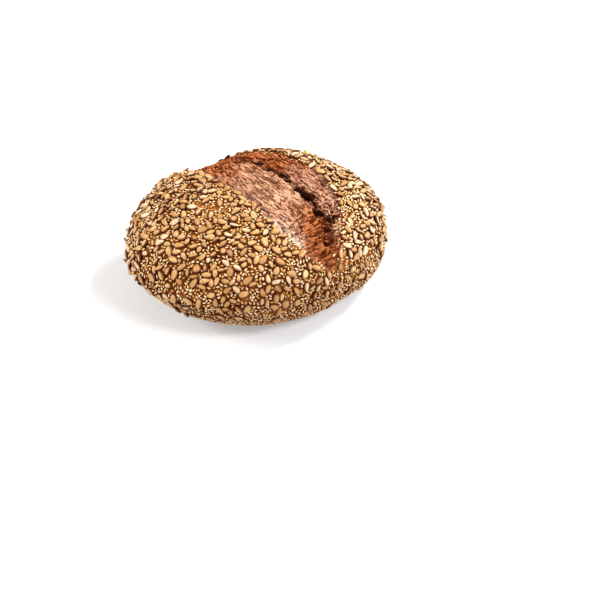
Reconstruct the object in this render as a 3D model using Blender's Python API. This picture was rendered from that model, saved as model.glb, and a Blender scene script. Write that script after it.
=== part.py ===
"""A rye bread loaf: an oval hearth loaf with one wide split across its top and a seeded crust.

Metres, +Z up. The loaf stands on the XY plane with the origin under its middle, and its split runs along X.
The near lobe is at -Y and the far lobe at +Y.
"""

import itertools
import math

import bmesh
import bpy
import numpy as np
from mathutils import Matrix, Vector

# The loaf as a whole
HALF_LENGTH = 0.1002  # along the split
NEAR_HALF_WIDTH = 0.1113
FAR_HALF_WIDTH = 0.1188
CROWN_HEIGHT = 0.0922
GIRTH_HEIGHT = 0.0473  # where the loaf is widest
BELLY_DEPTH = 0.059  # from the girth down to where the rounded belly would close
BASE_ROUNDING = 0.0025  # how softly the belly meets the flat base
BASE_SHIFT = (-0.0013, 0.0173)  # the loaf has slumped, so its base lies this far off its middle
NEAR_PLAN_POWER = 2.11  # 2 is an ellipse, and more is squarer
FAR_PLAN_POWER = 2.31
DOME_POWER = 2.08
BELLY_POWER = 2.6
LUMP_SIZE = 0.045
LUMP_HEIGHT = 0.0022

# Places where the loaf stands out or in a little: x, y, radius and height of each
BULGES = (
    (-0.072, -0.024, 0.030, 0.0032),
    (-0.066, 0.016, 0.020, -0.0040),
    (0.072, 0.078, 0.034, 0.0013),
    (0.012, 0.098, 0.020, 0.0026),
    (-0.095, 0.005, 0.026, -0.0050),
    (-0.012, -0.108, 0.034, 0.0029),
    (0.050, -0.092, 0.032, -0.0024),
)
CENTRE_SHIFT = Vector((-0.00140, -0.00473, 0.0))  # sets the origin under the middle of the whole

# The split, seen from above as a lens with its tips on the flanks
SPLIT_HALF_LENGTH = 0.1
SPLIT_TIP_Y = 0.010
SPLIT_NEAR_REACH = 0.0225  # from the line through the tips to the near edge
SPLIT_FAR_REACH = 0.060
NEAR_EDGE_POWERS = (6.0, 5.0)  # roundness towards the -X tip and the +X tip
FAR_EDGE_POWERS = (3.0, 2.0)
NEAR_EDGE_SHARPNESS = 0.75
FAR_EDGE_SHARPNESS = 0.88
EDGE_WAVE_SIZE = 0.012
EDGE_WAVE = 0.0022
EDGE_RAGS_SIZE = 0.0045
EDGE_RAGS = 0.0011
SPLIT_FADE_HEIGHT = 0.014  # above the girth, where the split has faded in

# Heights in and beside the split, measured out from the smooth loaf
NEAR_DROP = 0.0062  # the near lobe's edge stands this far above the groove
NEAR_STEP_WIDTH = 0.0035
NEAR_STEP_START, NEAR_STEP_FULL = -0.080, -0.045  # along X: where the near lobe's edge begins to stand out
GROOVE_WIDTH = 0.017
BLOOM_RISE = 0.0055
BLOOM_LEAN = 0.8  # below 1, it is highest nearer to the near edge
TIP_DIPS = (0.0015, 0.0068)  # how far the split sinks towards its -X tip and its +X tip
TIP_DIP_START, TIP_DIP_END = 0.045, 0.085  # distances along the split
FAR_LIP = 0.0016
FAR_STEP_WIDTH = 0.003
LOBE_SWELL = 0.0018
LOBE_SWELL_WIDTH = 0.018
SEAM_Y = 0.031  # the line along which the risen crust tore
SEAM_WIDTH = 0.006
SEAM_DEPTH = 0.0012
FLAP_RISE = 0.0020  # the crust beyond the seam stands higher, in the middle of its length
FLAP_SPAN = (-0.020, 0.012, 0.050, 0.075)  # along X: where it begins, is full, is still full, and ends
FLAP_EDGE = 0.0018
FLAP_WIDTH = 0.014
CRAG_SIZE = 0.008
CRAG_HEIGHT = 0.0011
CRAG_STRETCH = 2.6  # torn strands run along the split

# Torn openings beside the seam: x, y, half length, half width, depth, and turn from the X axis in degrees
FISSURES = (
    (-0.0290, 0.0290, 0.0068, 0.0026, 0.0070, 38.0),
    (-0.0140, 0.0305, 0.0052, 0.0016, 0.0042, 40.0),
    (-0.0310, 0.0410, 0.0050, 0.0015, 0.0036, 42.0),
    (0.0030, 0.0350, 0.0032, 0.0015, 0.0038, 30.0),
    (0.0325, 0.0325, 0.0088, 0.0028, 0.0092, 14.0),
    (0.0440, 0.0330, 0.0070, 0.0014, 0.0044, -12.0),
    (0.0548, 0.0295, 0.0048, 0.0024, 0.0060, 52.0),
    (0.0393, 0.0390, 0.0048, 0.0013, 0.0034, 11.0),
    (0.0225, 0.0605, 0.0036, 0.0019, 0.0046, 34.0),
    (0.0620, 0.0360, 0.0045, 0.0015, 0.0042, 70.0),
)

# Sunflower kernels
KERNEL_SEED = 7
KERNEL_TRIES = 9000
KERNELS_FUSED = 184  # the largest ones
KERNEL_LENGTHS = (0.0070, 0.0105)
KERNEL_WIDTH_SHARES = (0.53, 0.74)
KERNEL_THICKNESS = 0.0032
KERNEL_SUNK_SHARE = 0.22  # of the thickness, from the surface up to the kernel's middle line
KERNEL_CLOSENESS = 0.80  # how close two may lie, as a share of just touching
KERNEL_TILT = 14.0  # degrees
KERNEL_LOW, KERNEL_HIGH = 0.016, 0.082  # heights between which kernels become common
KERNEL_LOW_CHANCE = 0.04
PATCH_SIZE = 0.024  # bare and crowded patches
PATCH_USUAL, PATCH_SWING = 0.80, 1.0  # how crowded they are
PLENTY = 2.2  # makes more tries than there is room for, where seeds lie thickest
LEAST_FACING = 0.2  # least cosine between a surface's normal and the ray to it from the middle
KERNEL_CLEARANCE = 0.0008  # from the edge of the split
KERNEL_SECTORS = 5
KERNEL_RINGS = 3
KERNEL_TAPER = 0.45  # how much narrower it is at its point than at its blunt end
KERNEL_END_ROUNDING = 0.5

# Mesh
SPHERE_SUBDIVISIONS = 7
CRUST_TRIANGLES = 4200
NORMAL_STEP = 0.004  # of a radian, for slopes on the form
FACET_ANGLE = 50.0  # degrees, above which an edge is shaded sharp

CRUST_COLOUR = (0.36, 0.17, 0.07, 1.0)
CRUST_ROUGHNESS = 0.75


def clear_scene():
    for obj in list(bpy.data.objects):
        bpy.data.objects.remove(obj, do_unlink=True)


def ease(values, start, end):
    """0 before start and 1 after end, with a smooth change between."""
    t = np.clip((values - start) / (end - start), 0.0, 1.0)
    return t * t * (3.0 - 2.0 * t)


def hashed(cells, salt):
    """A repeatable number from -1 to 1 for each row of whole numbers."""
    mixed = (cells * np.array([73856093, 19349663, 83492791])).sum(axis=1) + salt * 9781
    mixed = (mixed ^ (mixed >> 13)) * 1274126177
    mixed = (mixed ^ (mixed >> 16)) & 0xFFFF
    return mixed / 32767.5 - 1.0


def noise(points, size, salt):
    """Smooth bumps of about the given size, from about -1 to 1."""
    scaled = points / size
    cells = np.floor(scaled).astype(np.int64)
    inside = scaled - cells
    fade = inside**3 * (inside * (inside * 6.0 - 15.0) + 10.0)
    total = np.zeros(len(points))
    for corner in itertools.product((0, 1), repeat=3):
        corner = np.array(corner)
        slope = np.stack([hashed(cells + corner, salt + axis) for axis in range(3)], axis=1)
        weight = np.where(corner, fade, 1.0 - fade).prod(axis=1)
        total += weight * (slope * (inside - corner)).sum(axis=1)
    return total * 1.5


def smooth_form(directions):
    """The loaf without its split: the point of its outside in each direction from the girth's middle."""
    x, y, z = directions.T
    half_width = np.where(y > 0, FAR_HALF_WIDTH, NEAR_HALF_WIDTH)
    half_height = np.where(z > 0, CROWN_HEIGHT - GIRTH_HEIGHT, BELLY_DEPTH)
    power = np.where(z > 0, DOME_POWER, BELLY_POWER)
    squareness = np.where(y > 0, FAR_PLAN_POWER, NEAR_PLAN_POWER)
    plan = (abs(x / HALF_LENGTH) ** squareness + abs(y / half_width) ** squareness) ** (1.0 / squareness)
    reach = (plan**power + abs(z / half_height) ** power) ** (-1.0 / power)
    lumps = 1.0 + LUMP_HEIGHT / HALF_LENGTH * noise(directions * HALF_LENGTH, LUMP_SIZE, 11)
    points = directions * (reach * lumps)[:, None]
    points[:, :2] += ease(-points[:, 2:], 0.0, GIRTH_HEIGHT) * BASE_SHIFT
    points[:, 2] += GIRTH_HEIGHT
    height = points[:, 2]
    rounded = (height + BASE_ROUNDING) ** 2 / (4.0 * BASE_ROUNDING)
    points[:, 2] = np.where(height > BASE_ROUNDING, height, np.where(height < -BASE_ROUNDING, 0.0, rounded))
    return points


def edge_reach(x, powers, sharpness):
    """How far an edge of the split has come out from the line through the tips, as a share of its reach."""
    along = np.clip(abs(x) / SPLIT_HALF_LENGTH, 0.0, 1.0)
    power = np.where(x < 0, *powers)
    return (1.0 - along**power) ** sharpness


def split_distances(points):
    """How far each point is inside the split's near edge and inside its far edge, in plan."""
    x, y, _ = points.T
    wave = EDGE_WAVE * noise(points, EDGE_WAVE_SIZE, 23) + EDGE_RAGS * noise(points, EDGE_RAGS_SIZE, 29)
    near = SPLIT_TIP_Y - SPLIT_NEAR_REACH * edge_reach(x, NEAR_EDGE_POWERS, NEAR_EDGE_SHARPNESS)
    far = SPLIT_TIP_Y + SPLIT_FAR_REACH * edge_reach(x, FAR_EDGE_POWERS, FAR_EDGE_SHARPNESS)
    return y - near + wave, far - y + wave


def on_top(points):
    """1 on the dome, where the split is, and 0 from the girth down."""
    return ease(points[:, 2], GIRTH_HEIGHT, GIRTH_HEIGHT + SPLIT_FADE_HEIGHT)


def fissure_depth(points):
    depth = np.zeros(len(points))
    for x, y, half_length, half_width, deep, turn in FISSURES:
        cos, sin = math.cos(math.radians(turn)), math.sin(math.radians(turn))
        dx, dy = points[:, 0] - x, points[:, 1] - y
        along = (dx * cos + dy * sin) / half_length
        across = (dy * cos - dx * sin) / half_width
        depth = np.maximum(depth, deep * np.exp(-(along**4) - across**2))
    return depth


def split_relief(points):
    """The height of the surface above the smooth loaf, in and beside the split."""
    from_near, from_far = split_distances(points)
    width = np.maximum(from_near + from_far, 1e-6)
    inside = np.minimum(from_near, from_far)
    share = np.clip(from_near / width, 0.0, 1.0)
    fullness = np.clip(width / (SPLIT_NEAR_REACH + SPLIT_FAR_REACH), 0.0, 1.0)

    swell = LOBE_SWELL * np.exp(-(((from_near + LOBE_SWELL_WIDTH) / LOBE_SWELL_WIDTH) ** 2))
    step = ease(from_near, 0.0, NEAR_STEP_WIDTH)
    groove = -NEAR_DROP * step * np.exp(-((np.maximum(from_near, 0.0) / GROOVE_WIDTH) ** 2))
    groove *= ease(points[:, 0], NEAR_STEP_START, NEAR_STEP_FULL)
    bloom = BLOOM_RISE * np.sin(np.pi * share**BLOOM_LEAN) * ease(inside, 0.0, NEAR_STEP_WIDTH)
    lip = FAR_LIP * np.where(from_far > 0, 0.0, np.exp(from_far / GROOVE_WIDTH))
    far_dip = -FAR_LIP * ease(from_far, 0.0, FAR_STEP_WIDTH)
    far_dip *= np.exp(-np.maximum(from_far, 0.0) / GROOVE_WIDTH)
    seam = -SEAM_DEPTH * np.exp(-(((points[:, 1] - SEAM_Y) / SEAM_WIDTH) ** 2))
    strands = points * np.array([1.0 / CRAG_STRETCH, 1.0, 1.0])
    crags = CRAG_HEIGHT * (noise(strands, CRAG_SIZE, 31) + 0.5 * noise(strands, CRAG_SIZE / 2.0, 37))
    torn = (seam + crags - fissure_depth(points)) * ease(inside, 0.0, 2.0 * NEAR_STEP_WIDTH)
    tip_dip = -np.where(points[:, 0] < 0, *TIP_DIPS) * ease(abs(points[:, 0]), TIP_DIP_START, TIP_DIP_END)
    tip_dip *= ease(inside, 0.0, GROOVE_WIDTH / 2.0)
    bulges = sum(
        height * np.exp(-((points[:, 0] - x) ** 2 + (points[:, 1] - y) ** 2) / radius**2)
        for x, y, radius, height in BULGES
    ) * ease(points[:, 2], 0.0, GIRTH_HEIGHT)
    beyond = points[:, 1] - SEAM_Y
    start, full, waning, end = FLAP_SPAN
    flap = FLAP_RISE * ease(points[:, 0], start, full) * (1.0 - ease(points[:, 0], waning, end))
    flap *= ease(beyond, -FLAP_EDGE, FLAP_EDGE) * np.exp(-np.maximum(beyond, 0.0) / FLAP_WIDTH)
    flap *= ease(inside, 0.0, NEAR_STEP_WIDTH)
    risen = fullness * (swell + groove + bloom + lip + far_dip)
    return bulges + on_top(points) * (risen + flap + tip_dip + torn)


def surface(directions):
    """The loaf's points and its smooth form's outward normals in these directions."""
    directions = unit(directions)
    aside, above = tangents(directions)
    points = smooth_form(directions)
    slope_a = smooth_form(unit(directions + NORMAL_STEP * aside)) - points
    slope_b = smooth_form(unit(directions + NORMAL_STEP * above)) - points
    normals = unit(np.cross(slope_a, slope_b))
    relief = split_relief(points) * (points[:, 2] > 0.0)
    return points + normals * relief[:, None], normals


def unit(vectors):
    return vectors / np.linalg.norm(vectors, axis=1)[:, None]


def crust_object():
    """The bare loaf: a fine ball of triangles pushed out to the surface, then thinned where it is plain."""
    bm = bmesh.new()
    bmesh.ops.create_icosphere(bm, subdivisions=SPHERE_SUBDIVISIONS, radius=1.0)
    points, _ = surface(np.array([v.co for v in bm.verts]))
    for vertex, point in zip(bm.verts, points):
        vertex.co = point
    mesh = bpy.data.meshes.new("loaf")
    bm.to_mesh(mesh)
    bm.free()
    loaf = bpy.data.objects.new("loaf", mesh)
    bpy.context.scene.collection.objects.link(loaf)
    thin = loaf.modifiers.new("thin_out", "DECIMATE")
    thin.ratio = CRUST_TRIANGLES / len(mesh.polygons)
    apply_modifiers(loaf)
    return loaf


def apply_modifiers(obj):
    graph = bpy.context.evaluated_depsgraph_get()
    made = bpy.data.meshes.new_from_object(obj.evaluated_get(graph))
    obj.modifiers.clear()
    obj.data = made


def tangents(normals):
    """Two directions along the surface at each of these normals, square to each other."""
    helper = np.where(abs(normals[:, 2:]) < 0.9, [[0.0, 0.0, 1.0]], [[1.0, 0.0, 0.0]])
    aside = unit(np.cross(helper, normals))
    return aside, np.cross(normals, aside)


def oval_reach(along, length, width):
    """How far an oval reaches from its middle, in a direction that runs along its length by this share."""
    along = np.minimum(abs(along), 1.0)
    return 0.5 / np.sqrt((along / length) ** 2 + (1.0 - along**2) / width**2)


def kernel_places():
    """Where the kernels lie, none in the split: points, normals, axes, lengths, widths and tilts."""
    draw = np.random.default_rng(KERNEL_SEED)
    directions = unit(draw.normal(size=(KERNEL_TRIES, 3)))
    points, normals = surface(directions)
    lengths = draw.uniform(*KERNEL_LENGTHS, KERNEL_TRIES)
    widths = lengths * draw.uniform(*KERNEL_WIDTH_SHARES, KERNEL_TRIES)
    turns = draw.uniform(0.0, 2.0 * math.pi, KERNEL_TRIES)
    tilts = np.radians(draw.normal(0.0, KERNEL_TILT, (KERNEL_TRIES, 2)))
    luck = draw.uniform(0.0, 1.0, KERNEL_TRIES)

    # A patch of surface far from the middle is seen under a small angle, so it gets more tries.
    distance = np.linalg.norm(points - [0.0, 0.0, GIRTH_HEIGHT], axis=1)
    facing = (normals * directions).sum(axis=1)
    area = distance**2 / np.maximum(facing, LEAST_FACING)
    height_chance = ease(points[:, 2], KERNEL_LOW, KERNEL_HIGH)
    height_chance = KERNEL_LOW_CHANCE + (1.0 - KERNEL_LOW_CHANCE) * height_chance
    patchiness = PATCH_USUAL + PATCH_SWING * noise(points, PATCH_SIZE, 41)
    chance = area / area.max() * PLENTY * height_chance * patchiness
    from_near, from_far = split_distances(points)
    in_split = (np.minimum(from_near, from_far) > -KERNEL_CLEARANCE) & (points[:, 2] > GIRTH_HEIGHT)
    wanted = (luck < chance) & ~in_split & (points[:, 2] > KERNEL_LOW)

    aside, above = tangents(normals)
    axes = aside * np.cos(turns)[:, None] + above * np.sin(turns)[:, None]
    kept = []
    for i in np.flatnonzero(wanted):
        between = points[kept] - points[i]
        gaps = np.maximum(np.linalg.norm(between, axis=1), 1e-6)
        mine = oval_reach(between @ axes[i] / gaps, lengths[i], widths[i])
        theirs = oval_reach((between * axes[kept]).sum(axis=1) / gaps, lengths[kept], widths[kept])
        if (gaps > KERNEL_CLOSENESS * (mine + theirs)).all():
            kept.append(int(i))
    return [values[kept] for values in (points, normals, axes, lengths, widths, tilts)]


def kernel_mesh():
    """A kernel one unit long, wide and thick: a spindle along X, blunt at -X and pointed at +X."""
    bm = bmesh.new()
    bmesh.ops.create_uvsphere(bm, u_segments=KERNEL_SECTORS, v_segments=KERNEL_RINGS, radius=0.5)
    for vertex in bm.verts:
        x, y, z = vertex.co.z, vertex.co.y, -vertex.co.x
        narrowing = 1.0 - KERNEL_TAPER * x - KERNEL_END_ROUNDING * x * x
        vertex.co = (x, y * narrowing, z * narrowing)
    mesh = bpy.data.meshes.new("kernel")
    bm.to_mesh(mesh)
    bm.free()
    return mesh


def laid(normals, axes, tilts):
    """Each kernel's directions along, across and out of it: laid on the surface, then tilted a little."""
    along = unit(axes + np.tan(tilts[:, 1:]) * normals)
    across = unit(np.cross(normals, axes) + np.tan(tilts[:, :1]) * normals)
    across = unit(np.cross(np.cross(along, across), along))
    return along, across, np.cross(along, across)


def fuse_kernels(loaf):
    """Joins the largest kernels to the crust with one Boolean union."""
    kernels = bpy.data.collections.new("kernels")
    bpy.context.scene.collection.children.link(kernels)
    mesh = kernel_mesh()
    points, normals, axes, lengths, widths, tilts = kernel_places()
    middles = points + normals * (KERNEL_SUNK_SHARE * KERNEL_THICKNESS)
    along, across, outward = laid(normals, axes, tilts)
    for i in np.argsort(-lengths)[:KERNELS_FUSED]:
        kernel = bpy.data.objects.new("kernel", mesh)
        sides = (along[i] * lengths[i], across[i] * widths[i], outward[i] * KERNEL_THICKNESS)
        placed = np.eye(4)
        placed[:3] = np.column_stack([*sides, middles[i]])
        kernel.matrix_world = Matrix(placed)
        kernels.objects.link(kernel)
    bpy.context.view_layer.update()
    union = loaf.modifiers.new("fuse_kernels", "BOOLEAN")
    union.operation = "UNION"
    union.operand_type = "COLLECTION"
    union.collection = kernels
    apply_modifiers(loaf)
    for kernel in list(kernels.objects):
        bpy.data.objects.remove(kernel, do_unlink=True)
    bpy.data.collections.remove(kernels)


def crust_material():
    material = bpy.data.materials.new("crust")
    material.use_nodes = True
    shader = material.node_tree.nodes["Principled BSDF"]
    shader.inputs["Base Color"].default_value = CRUST_COLOUR
    shader.inputs["Roughness"].default_value = CRUST_ROUGHNESS
    shader.inputs["Metallic"].default_value = 0.0
    return material


def main():
    clear_scene()
    loaf = crust_object()
    fuse_kernels(loaf)
    loaf.data.transform(Matrix.Translation(CENTRE_SHIFT))
    loaf.data.materials.clear()
    loaf.data.materials.append(crust_material())
    loaf.data.shade_smooth()
    loaf.data.set_sharp_from_angle(angle=math.radians(FACET_ANGLE))


main()
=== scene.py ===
"""The looks of the rye bread loaf: its baked crust, the torn split, sunflower kernels and sesame seeds.

Metres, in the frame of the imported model. The loaf stands on the XY plane and its split runs along X.
"""

import itertools
import math

import bmesh
import bpy
import numpy as np
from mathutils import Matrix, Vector


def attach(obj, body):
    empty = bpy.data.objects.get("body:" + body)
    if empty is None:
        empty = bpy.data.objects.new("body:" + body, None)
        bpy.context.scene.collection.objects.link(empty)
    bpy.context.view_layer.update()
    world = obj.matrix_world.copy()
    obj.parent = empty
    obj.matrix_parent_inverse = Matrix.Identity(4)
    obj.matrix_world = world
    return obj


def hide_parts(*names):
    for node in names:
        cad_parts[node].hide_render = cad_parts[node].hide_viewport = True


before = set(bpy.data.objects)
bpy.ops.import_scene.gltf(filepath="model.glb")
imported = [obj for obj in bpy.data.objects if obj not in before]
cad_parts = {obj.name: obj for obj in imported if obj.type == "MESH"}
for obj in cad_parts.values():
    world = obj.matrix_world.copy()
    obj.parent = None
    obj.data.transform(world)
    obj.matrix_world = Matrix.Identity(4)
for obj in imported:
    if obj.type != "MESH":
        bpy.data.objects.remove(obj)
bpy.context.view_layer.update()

# The loaf as a whole, as in the solid
HALF_LENGTH = 0.1002  # along the split
NEAR_HALF_WIDTH = 0.1113
FAR_HALF_WIDTH = 0.1188
CROWN_HEIGHT = 0.0922
GIRTH_HEIGHT = 0.0473  # where the loaf is widest
BELLY_DEPTH = 0.059  # from the girth down to where the rounded belly would close
BASE_ROUNDING = 0.0025  # how softly the belly meets the flat base
BASE_SHIFT = (-0.0013, 0.0173)  # the loaf has slumped, so its base lies this far off its middle
NEAR_PLAN_POWER = 2.11  # 2 is an ellipse, and more is squarer
FAR_PLAN_POWER = 2.31
DOME_POWER = 2.08
BELLY_POWER = 2.6
LUMP_SIZE = 0.045
LUMP_HEIGHT = 0.0022

# Places where the loaf stands out or in a little: x, y, radius and height of each
BULGES = (
    (-0.072, -0.024, 0.030, 0.0032),
    (-0.066, 0.016, 0.020, -0.0040),
    (0.072, 0.078, 0.034, 0.0013),
    (0.012, 0.098, 0.020, 0.0026),
    (-0.095, 0.005, 0.026, -0.0050),
    (-0.012, -0.108, 0.034, 0.0029),
    (0.050, -0.092, 0.032, -0.0024),
)
CENTRE_SHIFT = np.array([-0.00140, -0.00473, 0.0])  # sets the origin under the middle of the whole

# The split, seen from above as a lens with its tips on the flanks
SPLIT_HALF_LENGTH = 0.1
SPLIT_TIP_Y = 0.010
SPLIT_NEAR_REACH = 0.0225  # from the line through the tips to the near edge
SPLIT_FAR_REACH = 0.060
NEAR_EDGE_POWERS = (6.0, 5.0)  # roundness towards the -X tip and the +X tip
FAR_EDGE_POWERS = (3.0, 2.0)
NEAR_EDGE_SHARPNESS = 0.75
FAR_EDGE_SHARPNESS = 0.88
EDGE_WAVE_SIZE = 0.012
EDGE_WAVE = 0.0022
EDGE_RAGS_SIZE = 0.0045
EDGE_RAGS = 0.0011
SPLIT_FADE_HEIGHT = 0.014  # above the girth, where the split has faded in

# Heights in and beside the split, measured out from the smooth loaf
NEAR_DROP = 0.0062  # the near lobe's edge stands this far above the groove
NEAR_STEP_WIDTH = 0.0035
NEAR_STEP_START, NEAR_STEP_FULL = -0.080, -0.045  # along X: where the near lobe's edge begins to stand out
GROOVE_WIDTH = 0.017
BLOOM_RISE = 0.0055
BLOOM_LEAN = 0.8  # below 1, it is highest nearer to the near edge
TIP_DIPS = (0.0015, 0.0068)  # how far the split sinks towards its -X tip and its +X tip
TIP_DIP_START, TIP_DIP_END = 0.045, 0.085  # distances along the split
FAR_LIP = 0.0016
FAR_STEP_WIDTH = 0.003
LOBE_SWELL = 0.0018
LOBE_SWELL_WIDTH = 0.018
SEAM_Y = 0.031  # the line along which the risen crust tore
SEAM_WIDTH = 0.006
SEAM_DEPTH = 0.0012
FLAP_RISE = 0.0020  # the crust beyond the seam stands higher, in the middle of its length
FLAP_SPAN = (-0.020, 0.012, 0.050, 0.075)  # along X: where it begins, is full, is still full, and ends
FLAP_EDGE = 0.0018
FLAP_WIDTH = 0.014
CRAG_SIZE = 0.008
CRAG_HEIGHT = 0.0011
CRAG_STRETCH = 2.6  # torn strands run along the split

# Torn openings beside the seam: x, y, half length, half width, depth, and turn from the X axis in degrees
FISSURES = (
    (-0.0290, 0.0290, 0.0068, 0.0026, 0.0070, 38.0),
    (-0.0140, 0.0305, 0.0052, 0.0016, 0.0042, 40.0),
    (-0.0310, 0.0410, 0.0050, 0.0015, 0.0036, 42.0),
    (0.0030, 0.0350, 0.0032, 0.0015, 0.0038, 30.0),
    (0.0325, 0.0325, 0.0088, 0.0028, 0.0092, 14.0),
    (0.0440, 0.0330, 0.0070, 0.0014, 0.0044, -12.0),
    (0.0548, 0.0295, 0.0048, 0.0024, 0.0060, 52.0),
    (0.0393, 0.0390, 0.0048, 0.0013, 0.0034, 11.0),
    (0.0225, 0.0605, 0.0036, 0.0019, 0.0046, 34.0),
    (0.0620, 0.0360, 0.0045, 0.0015, 0.0042, 70.0),
)

# Fine relief of the torn crust
TORN_MARGIN = 0.0012  # the fine mesh reaches this far past the split's edges
WARP_SIZE = 0.006
WARP = 0.0022  # how far the torn openings' outlines wander
STRAND_SIZES = (0.0036, 0.0021, 0.0013)
STRAND_HEIGHTS = (0.00080, 0.00095, 0.00080)
STRAND_STRETCH = 6.5
STRAND_WARP = 0.30  # how much of that wandering the strands share
STRAND_FADE = (-0.0008, 0.0010)  # distances inside the split's edges between which they grow in
CROSSWISE_START, CROSSWISE_END = 0.036, 0.060  # along X, where the strands turn to run across the split
TEAR_FADE = (0.0008, 0.0030)  # as STRAND_FADE, for tears
SMALL_TEARS = (  # in the form of FISSURES, and too small for the solid
    (-0.0330, 0.0430, 0.0056, 0.0021, 0.0042, 50.0),
    (-0.0260, 0.0585, 0.0036, 0.0019, 0.0040, 52.0),
    (-0.0185, 0.0655, 0.0034, 0.0018, 0.0038, 50.0),
    (-0.0070, 0.0640, 0.0030, 0.0017, 0.0036, 45.0),
    (-0.0400, 0.0350, 0.0044, 0.0013, 0.0030, 40.0),
    (0.0000, 0.0345, 0.0042, 0.0021, 0.0048, 36.0),
    (0.0115, 0.0320, 0.0036, 0.0018, 0.0044, 25.0),
    (0.0205, 0.0420, 0.0030, 0.0014, 0.0034, 30.0),
    (0.0606, 0.0440, 0.0032, 0.0015, 0.0036, 70.0),
    (0.0700, 0.0300, 0.0032, 0.0014, 0.0034, 60.0),
    (0.0805, 0.0220, 0.0036, 0.0017, 0.0036, 70.0),
)
SLIT_SEED = 5
SLIT_COUNT = 260
SLIT_SPANS = (-0.085, 0.085), (-0.012, 0.066)  # where they are, along X and Y
SLIT_LENGTHS = (0.0010, 0.0034)  # half lengths
SLIT_WIDTHS = (0.00040, 0.00085)  # half widths
SLIT_DEPTHS = (0.0008, 0.0024)
SLIT_TURN = 28.0  # degrees
PIT_COUNT = 190
PIT_SPANS = (-0.035, 0.085), (0.032, 0.066)  # where they are, along X and Y
PIT_RADII = (0.0006, 0.0013)
PIT_WIDTH_SHARES = (0.7, 1.0)
PIT_DEPTHS = (0.0012, 0.0030)
PIT_TURNS = (-30.0, 90.0)  # degrees
CRUST_GRAIN_SIZE = 0.0035
CRUST_GRAIN = 0.00035
CRUST_GRAIN_FADE = 0.004  # height above the base by which it has grown in

# Where the colours change. Each pair is where a smooth change starts and ends, along X unless it says more.
FLOUR_WIDTH = 0.0105  # of the pale band inside the near edge
FLOUR_SPILL_WIDTH = FLOUR_WIDTH / 3.0  # of what lies outside it
FLOUR_LOW = 0.22  # its strength towards the -X end, as a share of that farther on
FLOUR_BEGINS, FLOUR_GROWS, FLOUR_WANES = (-0.085, -0.050), (0.026, 0.062), (0.068, 0.082)
FLOUR_LOSS = 0.9  # the share that is gone past the last of these
COLOUR_WANDER_SIZE = 0.019
COLOUR_WANDER = 0.014  # how far the bounds between the split's colours wander
COLOUR_SLANT = 0.5  # how far they lean across it
MIDDLE_BEGINS, MIDDLE_ENDS = (-0.060, 0.004), (0.032, 0.074)  # the pale middle
MIDDLE_INSIDE = (0.002, 0.014)  # in from the near edge
MIDDLE_SIDE = (0.026, 0.034)  # along Y, where it gives way to the far side
FAR_SIDE, FAR_SIDE_BEGINS = (0.026, 0.036), (-0.020, 0.020)  # the first is along Y
LOW_END = (0.040, 0.084)  # the browner end, where the split runs down the flank

# Sunflower kernels
KERNEL_SEED = 7
KERNEL_TRIES = 9000
KERNEL_LENGTHS = (0.0070, 0.0105)
KERNEL_WIDTH_SHARES = (0.53, 0.74)
KERNEL_THICKNESS = 0.0032
KERNEL_SUNK_SHARE = 0.36  # of the thickness, from the surface up to the kernel's middle line
KERNEL_CLOSENESS = 0.80  # how close two may lie, as a share of just touching
KERNEL_TILT = 14.0  # degrees
KERNEL_LOW, KERNEL_HIGH = 0.016, 0.082  # heights between which kernels become common
KERNEL_LOW_CHANCE = 0.04
PATCH_SIZE = 0.024  # bare and crowded patches
PATCH_USUAL, PATCH_SWING = 0.80, 1.0  # how crowded they are
PLENTY = 2.2  # makes more tries than there is room for, where seeds lie thickest
LEAST_FACING = 0.2  # least cosine between a surface's normal and the ray to it from the middle
KERNEL_CLEARANCE = 0.0008  # from the edge of the split
KERNEL_SECTORS = 14
KERNEL_RINGS = 9
KERNEL_SHAPES = 12

# Sesame seeds
SESAME_SEED = 21
SESAME_TRIES = 150000
SESAME_LENGTHS = (0.0030, 0.0040)
SESAME_WIDTH_SHARES = (0.50, 0.64)
SESAME_THICKNESS = 0.0016
SESAME_SUNK_SHARE = 0.28
SESAME_TILT = 14.0  # degrees
SESAME_CLOSENESS = 0.96  # how close two seeds may lie, as a share of just touching
SESAME_OVER_KERNEL = 0.90
SESAME_SPILL = 0.0011  # how far, on average, they lie over the edge of the split
SESAME_TURNS = 5  # turns tried at each place
SESAME_LOW = 0.0015  # height of the lowest ones
BARE_START, BARE_END = 0.28, 0.52  # bounds of a noise, beyond which patches of crust stay bare of sesame
BARE_LUCK = (0.4, 1.2)  # a seed is left out where the bareness is more than its own number between these
SESAME_SECTORS = 8
SESAME_RINGS = 5
SESAME_SHAPES = 8
LOW_TONE, HIGH_TONE = 0.15, 0.58  # seeds low on the loaf are browner than those on its top
TONE_HEIGHTS = (0.005, 0.080)
FAR_LOBE_PAINTED_LIGHT = 0.28  # how much paler they are on the far lobe: painted light, as if lit from behind
FAR_LOBE_SPAN = (0.020, 0.075)  # along Y
END_PAINTED_LIGHT = 0.30  # how much paler they are at one end of the near lobe: painted light, as if lit from the left
END_DIRECTION = np.array([-0.60, -0.80])
END_SPAN = (0.055, 0.105)  # in that direction
PALE_SHARE = 0.5  # of the sesame, in the lighter of its two pieces

# Seeds of both kinds
LOOKS_SEED = 3
TONE_SPREAD = 0.27
THICKNESS_SPREAD = (0.85, 1.15)
TAPER_POWER = 1.4  # above 1, a seed keeps its width farther along
WIDTH_SPREAD = 0.04
BEND_REST = 0.1  # keeps a bent seed's middle in place
BUMP_SIZE = 0.35  # of a seed's length

# Mesh
SPHERE_SUBDIVISIONS = 6
REFINED_FROM = 0.057  # the split's triangles nearer than this to the girth's middle are refined once less
FLAT_BELOW = 0.0005  # height below which coarse triangles will do
MM = 1000.0  # millimetres in a metre
NORMAL_STEP = 0.004  # of a radian, for slopes on the form

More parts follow.
